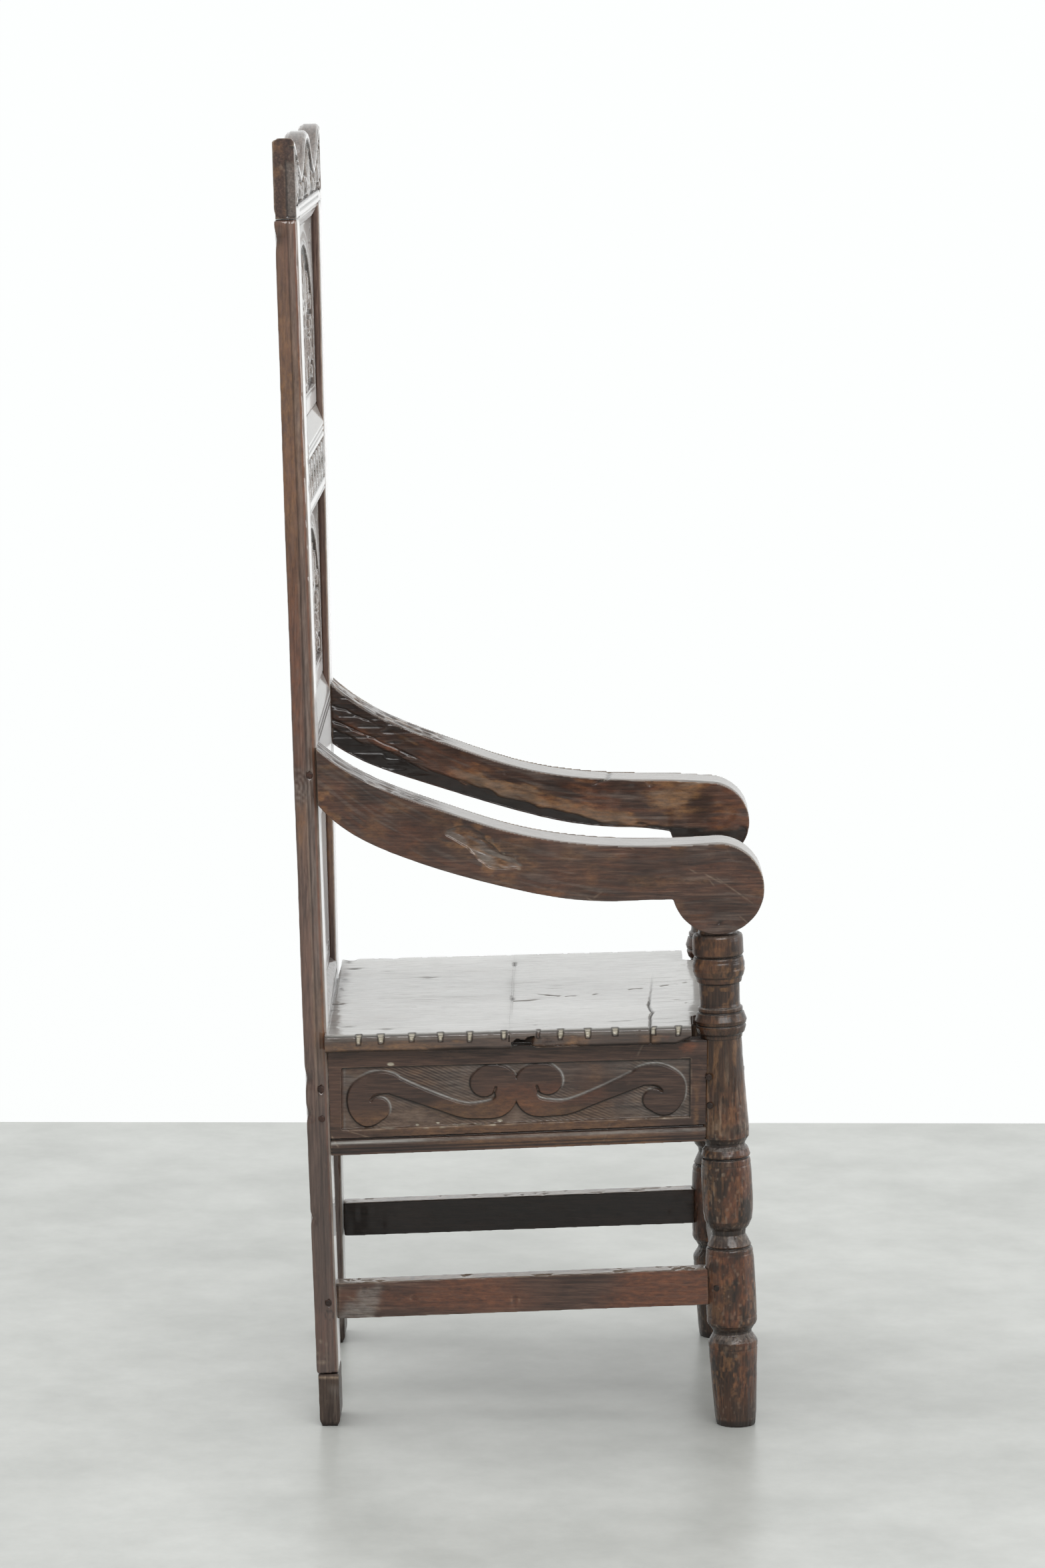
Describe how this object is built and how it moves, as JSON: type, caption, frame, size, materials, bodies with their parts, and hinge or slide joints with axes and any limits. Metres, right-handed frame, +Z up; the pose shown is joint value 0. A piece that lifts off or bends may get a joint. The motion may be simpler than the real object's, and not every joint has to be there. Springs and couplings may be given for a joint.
{
  "type": "wainscot chair",
  "caption": "Joined oak wainscot armchair with a tall panelled back, notched crest, scrolled plank arms, turned front posts, board seat and low stretchers",
  "frame": {"origin": "on the floor, below the middle of the bounding box", "axes": "+X to the sitter's left, +Y to the back of the chair, +Z up"},
  "size_m": [0.49, 0.5246, 1.3961],
  "materials": {
    "oak_frame": "waxed, worn dark brown with red-brown and grey patches",
    "oak_seat": "bleached grey-brown and polished by use",
    "oak_feet": "later repair, slightly paler brown",
    "oak_pegs": "dark end grain"
  },
  "bodies": {
    "root": {"arm_left": "oak_frame", "arm_right": "oak_frame", "crest_rail": "oak_frame", "foot_left": "oak_feet", "foot_right": "oak_feet", "front_post_left": "oak_frame", "front_post_right": "oak_frame", "panel_lower": "oak_frame", "panel_middle": "oak_frame", "panel_upper": "oak_frame", "pegs_back": "oak_pegs", "pegs_front": "oak_pegs", "pegs_left": "oak_pegs", "pegs_right": "oak_pegs", "rail_arm_level": "oak_frame", "rail_middle": "oak_frame", "rail_seat_back": "oak_frame", "seat_board_front": "oak_seat", "seat_board_rear": "oak_seat", "seat_rail_front": "oak_frame", "seat_rail_left": "oak_frame", "seat_rail_right": "oak_frame", "stile_left": "oak_frame", "stile_right": "oak_frame", "stretcher_front": "oak_frame", "stretcher_left": "oak_frame", "stretcher_right": "oak_frame"}
  },
  "joints": []
}
